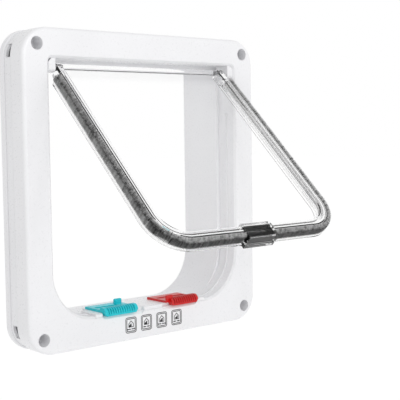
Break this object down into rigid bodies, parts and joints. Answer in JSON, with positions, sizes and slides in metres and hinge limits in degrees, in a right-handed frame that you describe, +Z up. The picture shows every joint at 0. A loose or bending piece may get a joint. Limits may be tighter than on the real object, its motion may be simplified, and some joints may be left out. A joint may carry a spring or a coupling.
{
  "type": "cat flap",
  "caption": "Framed cat flap with a clear swinging flap edged with pile, slide locks at the sill, a tunnel liner and a rear frame.",
  "frame": {"origin": "centre of the four fixing screws, in the plane of the front frame's door-side face", "axes": "+X across the flap to the right as seen from the front, +Y into the door, +Z up"},
  "size_m": [0.235, 0.1986, 0.25],
  "materials": {
    "white_plastic": "smooth gloss white ABS",
    "clear_plastic": "polished clear polycarbonate",
    "grey_pile": "dense grey brush pile",
    "magnet": "black sintered ferrite",
    "blue_plastic": "moulded turquoise ABS",
    "red_plastic": "moulded red ABS",
    "steel": "drawn stainless wire"
  },
  "bodies": {
    "frame": {"front_frame": "white_plastic", "tunnel_liner": "white_plastic", "hinge_block_left": "white_plastic", "hinge_block_right": "white_plastic", "keeper_magnet": "magnet", "keeper_tray": "white_plastic"},
    "rear": {"rear_frame": "white_plastic"},
    "flap": {"flap_panel": "clear_plastic", "pile_strip_left": "grey_pile", "pile_strip_right": "grey_pile", "magnet_cover": "clear_plastic", "flap_magnet": "magnet", "hinge_pin_left": "steel", "hinge_pin_right": "steel"},
    "left_lock": {"left_lock": "blue_plastic"},
    "right_lock": {"right_lock": "red_plastic"}
  },
  "joints": [
    {"name": "flap_swing", "type": "hinge", "parent": "frame", "child": "flap", "pos_m": [0, -0.0093, 0.0955], "axis": [1, 0, 0], "range_deg": [-33.3, 119.7]},
    {"name": "left_lock_slide", "type": "slide", "parent": "frame", "child": "left_lock", "axis": [1, 0, 0], "range_m": [0, 0.008]},
    {"name": "right_lock_slide", "type": "slide", "parent": "frame", "child": "right_lock", "axis": [-1, 0, 0], "range_m": [0, 0.008]},
    {"name": "door_thickness", "type": "slide", "parent": "frame", "child": "rear", "axis": [0, 1, 0], "range_m": [0, 0.025]}
  ]
}
